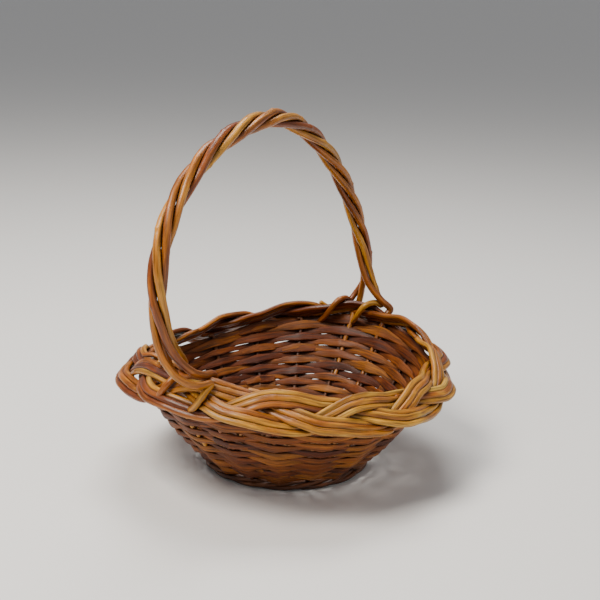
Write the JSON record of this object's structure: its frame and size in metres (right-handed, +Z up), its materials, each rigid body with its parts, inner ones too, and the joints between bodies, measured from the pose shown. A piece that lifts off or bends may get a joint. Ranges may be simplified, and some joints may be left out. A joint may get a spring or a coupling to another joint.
{
  "type": "woven willow market basket",
  "caption": "Round-bottomed woven willow market basket with a plaited border and a fixed twisted hoop handle.",
  "frame": {"origin": "under the middle of the overall length and width, on the surface that the basket stands on", "axes": "+Z up, +Y along the handle from one foot to the other, +X across the handle"},
  "size_m": [0.479, 0.5636, 0.5165],
  "materials": {
    "handle_willow": "varnished honey-coloured whole willow rods, satin",
    "border_willow": "varnished honey-coloured whole willow rods, satin",
    "weaver_willow": "varnished red-brown split willow, rounded bark side out",
    "stake_willow": "varnished red-brown whole willow rods",
    "base_willow": "pale brown willow sticks and weavers"
  },
  "bodies": {
    "root": {"base_stick_long_1": "base_willow", "base_stick_long_2": "base_willow", "base_stick_long_3": "base_willow", "base_stick_long_4": "base_willow", "base_stick_long_5": "base_willow", "base_stick_cross_1": "base_willow", "base_stick_cross_2": "base_willow", "base_stick_cross_3": "base_willow", "base_stick_cross_4": "base_willow", "base_weaver_1": "base_willow", "base_weaver_2": "base_willow", "base_weaver_3": "base_willow", "base_weaver_4": "base_willow", "foot_ring": "stake_willow", "side_stake_01": "stake_willow", "side_stake_02": "stake_willow", "side_stake_03": "stake_willow", "side_stake_04": "stake_willow", "side_stake_05": "stake_willow", "side_stake_06": "stake_willow", "side_stake_07": "stake_willow", "side_stake_08": "stake_willow", "side_stake_09": "stake_willow", "side_stake_10": "stake_willow", "side_stake_11": "stake_willow", "side_stake_12": "stake_willow", "side_stake_13": "stake_willow", "side_stake_14": "stake_willow", "side_stake_15": "stake_willow", "side_stake_16": "stake_willow", "side_stake_17": "stake_willow", "side_stake_18": "stake_willow", "weaver_row_01": "weaver_willow", "weaver_row_02": "weaver_willow", "weaver_row_03": "weaver_willow", "weaver_row_04": "weaver_willow", "weaver_row_05": "weaver_willow", "weaver_row_06": "weaver_willow", "weaver_row_07": "weaver_willow", "weaver_row_08": "weaver_willow", "weaver_row_09": "weaver_willow", "weaver_row_10": "weaver_willow", "weaver_row_11": "weaver_willow", "weaver_row_12": "weaver_willow", "weaver_row_13": "weaver_willow", "weaver_row_14": "weaver_willow", "weaver_row_15": "weaver_willow", "weaver_row_16": "weaver_willow", "border_strand_1_upper_rod": "border_willow", "border_strand_1_lower_rod": "border_willow", "border_strand_2_upper_rod": "border_willow", "border_strand_2_lower_rod": "border_willow", "border_strand_3_upper_rod": "border_willow", "border_strand_3_lower_rod": "border_willow", "handle_rod_1": "handle_willow", "handle_rod_2": "handle_willow", "handle_rod_3": "handle_willow", "handle_rod_4": "handle_willow"}
  },
  "joints": []
}
